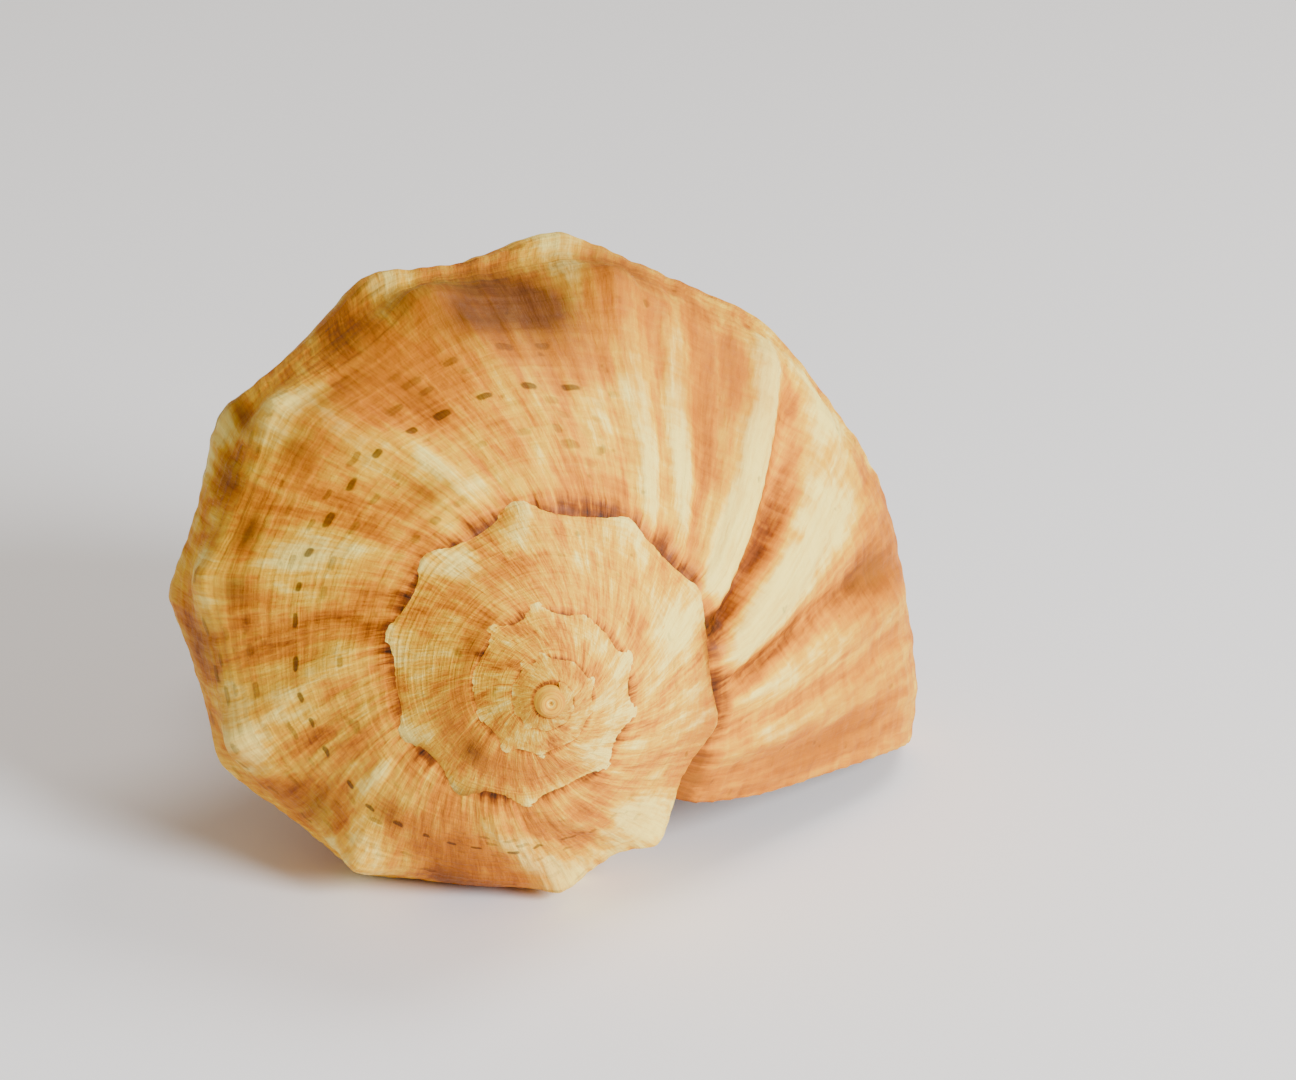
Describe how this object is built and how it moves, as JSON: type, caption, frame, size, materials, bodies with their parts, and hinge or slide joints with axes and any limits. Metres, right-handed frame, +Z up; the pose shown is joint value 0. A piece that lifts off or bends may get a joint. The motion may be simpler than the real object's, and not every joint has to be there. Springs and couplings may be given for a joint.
{
  "type": "whelk shell",
  "caption": "Empty whelk shell with a knobbed shoulder, low stepped spire, swept growth folds and a wide open aperture, lying on its aperture.",
  "frame": {"origin": "middle of the footprint on the surface that the shell rests on", "axes": "+Z up from the surface, -Y towards the tip of the spire, +X towards the outer lip"},
  "size_m": [0.085, 0.106, 0.0656],
  "materials": {
    "shell": "satin"
  },
  "bodies": {
    "root": {"shell": "shell"}
  },
  "joints": []
}
